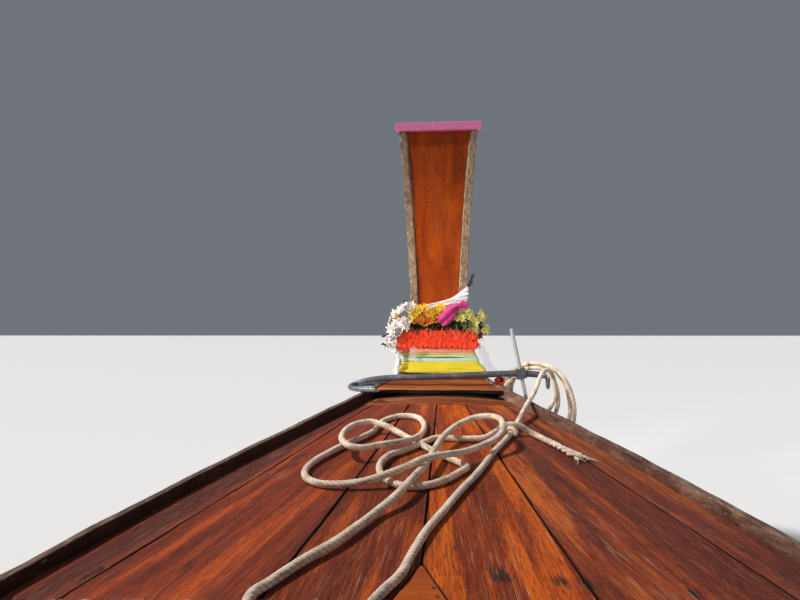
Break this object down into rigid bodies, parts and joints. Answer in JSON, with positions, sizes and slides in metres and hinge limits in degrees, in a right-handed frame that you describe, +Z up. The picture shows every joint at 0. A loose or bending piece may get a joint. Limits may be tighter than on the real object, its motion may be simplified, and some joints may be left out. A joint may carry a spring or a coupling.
{
  "type": "longtail boat",
  "caption": "Wooden longtail boat with a tall garlanded prow, decked bow, arched canopy and a swivelling engine that drives a propeller on a long tail.",
  "frame": {"origin": "amidships, on the centreline, at the waterline", "axes": "+Y toward the bow, +X to starboard, +Z up"},
  "size_m": [1.8676, 13.6369, 2.5942],
  "materials": {
    "teak": "varnished, worn",
    "dark_teak": "oiled, dark",
    "weathered_wood": "bare, weathered",
    "painted_wood": "stained, satin",
    "pink_paint": "painted, chipped",
    "steel": "galvanised, dull",
    "engine_iron": "painted, oily",
    "bronze": "worn",
    "canvas": "woven, matt",
    "rope": "braided, matt",
    "yellow_cloth": "matt cloth",
    "orange_flowers": "frilled ribbon",
    "white_cloth": "thin cloth",
    "blossoms": "artificial flowers"
  },
  "bodies": {
    "hull": {"plank_bottom_port": "painted_wood", "plank_side_port": "painted_wood", "plank_sheer_port": "painted_wood", "gunwale_port": "weathered_wood", "ribs_port": "teak", "prow_cheek_port": "weathered_wood", "deck_inner_port": "teak", "deck_middle_port": "teak", "deck_outer_port": "teak", "plank_bottom_starboard": "painted_wood", "plank_side_starboard": "painted_wood", "plank_sheer_starboard": "painted_wood", "gunwale_starboard": "weathered_wood", "ribs_starboard": "teak", "prow_cheek_starboard": "weathered_wood", "deck_inner_starboard": "teak", "deck_middle_starboard": "teak", "deck_outer_starboard": "teak", "floor_timbers": "teak", "keel": "dark_teak", "stem": "dark_teak", "transom": "painted_wood", "sole": "teak", "aft_deck": "teak", "deck_wedge": "teak", "deck_beam": "dark_teak", "rope_cleat": "steel", "bow_board": "teak", "prow_panel": "teak", "prow_cap": "pink_paint", "prow_sashes": "yellow_cloth", "prow_garland": "orange_flowers", "prow_scarf": "white_cloth", "prow_flowers": "blossoms", "anchor": "steel", "anchor_stock": "steel", "rope_bow_line": "rope", "rope_anchor_line": "rope", "rope_frayed_end": "rope", "rope_hanging_coil": "rope", "canopy_roof": "canvas", "stern_beam": "dark_teak", "engine_post": "steel", "thwart_1": "teak", "canopy_hoop_1": "dark_teak", "thwart_2": "teak", "canopy_hoop_2": "dark_teak", "thwart_3": "teak", "canopy_hoop_3": "dark_teak", "thwart_4": "teak", "canopy_hoop_4": "dark_teak"},
    "swivel": {"swivel_yoke": "steel"},
    "engine": {"engine_cradle": "steel", "engine_block": "engine_iron", "engine_exhaust": "steel", "engine_air_cleaner": "steel", "tail_tube": "steel", "tiller": "steel"},
    "propeller": {"propeller": "bronze"}
  },
  "joints": [
    {"name": "engine_swivel", "type": "hinge", "parent": "hull", "child": "swivel", "pos_m": [0, -4.72, 0.81], "axis": [0, 0, 1], "range_deg": [-55, 55]},
    {"name": "engine_tilt", "type": "hinge", "parent": "swivel", "child": "engine", "pos_m": [0, -4.72, 1.02], "axis": [1, 0, 0], "range_deg": [-6, 12]},
    {"name": "propeller_spin", "type": "hinge", "parent": "engine", "child": "propeller", "pos_m": [0, -8.5989, 0.2658], "axis": [0, 0.9759, 0.2181], "continuous": true}
  ]
}
